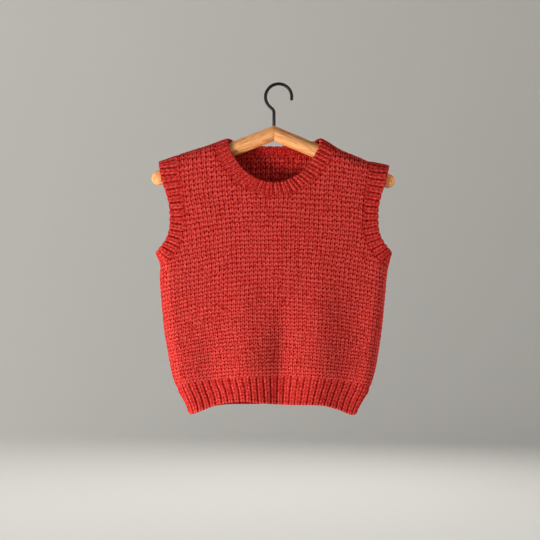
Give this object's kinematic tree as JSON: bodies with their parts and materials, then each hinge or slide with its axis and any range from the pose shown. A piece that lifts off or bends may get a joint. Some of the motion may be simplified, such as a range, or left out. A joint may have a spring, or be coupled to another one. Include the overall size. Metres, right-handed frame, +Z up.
{
  "type": "knitted sweater vest on a wooden hanger",
  "caption": "Sleeveless knitted vest with ribbed neck, armholes and welt, hanging flat on a round dowel hanger with a bent wire hook.",
  "frame": {"origin": "inner top of the hook's loop, where a peg, rail or wall hook carries the hanger", "axes": "+X to the right as the vest's front is seen, +Y from the front to the back, +Z up"},
  "size_m": [0.3008, 0.0393, 0.4091],
  "materials": {
    "knit_wool": "textured hand knit in brick red wool, matt with a soft nap",
    "rib_wool": "ribbed hand knit in the same wool",
    "oak": "light oak dowel, oiled, satin",
    "black_steel": "black coated steel wire, satin"
  },
  "bodies": {
    "root": {"front_panel": "knit_wool", "back_panel": "knit_wool", "hem_rib_front": "rib_wool", "hem_rib_back": "rib_wool", "neckband": "rib_wool", "armband_left": "rib_wool", "armband_right": "rib_wool", "hanger_arm_left": "oak", "hanger_arm_right": "oak", "hanger_hook": "black_steel"}
  },
  "joints": []
}
